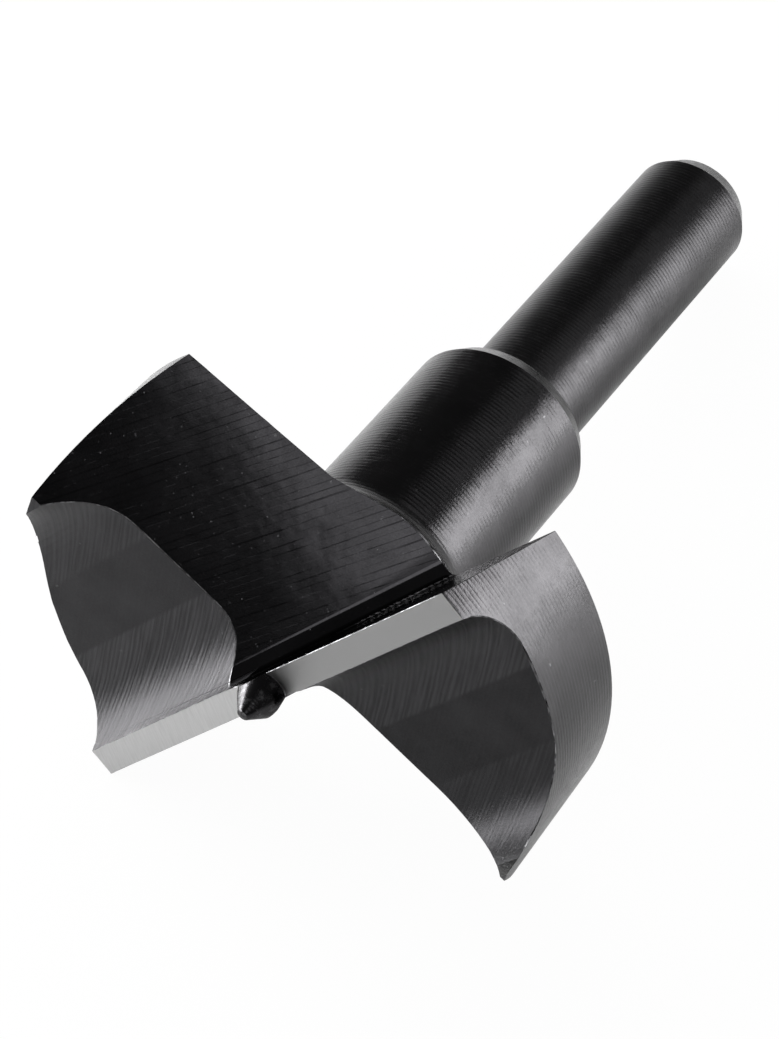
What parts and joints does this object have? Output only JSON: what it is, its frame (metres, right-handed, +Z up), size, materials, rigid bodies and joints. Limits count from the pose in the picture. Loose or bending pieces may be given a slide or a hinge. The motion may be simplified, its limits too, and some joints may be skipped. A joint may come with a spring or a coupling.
{
  "type": "wood cutter bit",
  "caption": "Wing-type wood boring bit with a centre point, hollow-ground cutting wings on a turned hub and a plain round shank",
  "frame": {"origin": "centre of the bottom of the bounding box, on the surface that the bit lies on", "axes": "+Z up, +X along the floor from the cutting head towards the shank, +Y across, on the side of the wing that is raised"},
  "size_m": [0.0554, 0.035, 0.0279],
  "materials": {
    "black_steel": "blackened tool steel with turned rings, milled hollows and ground bright cutting lands"
  },
  "bodies": {
    "root": {"cutter_bit": "black_steel"}
  },
  "joints": []
}
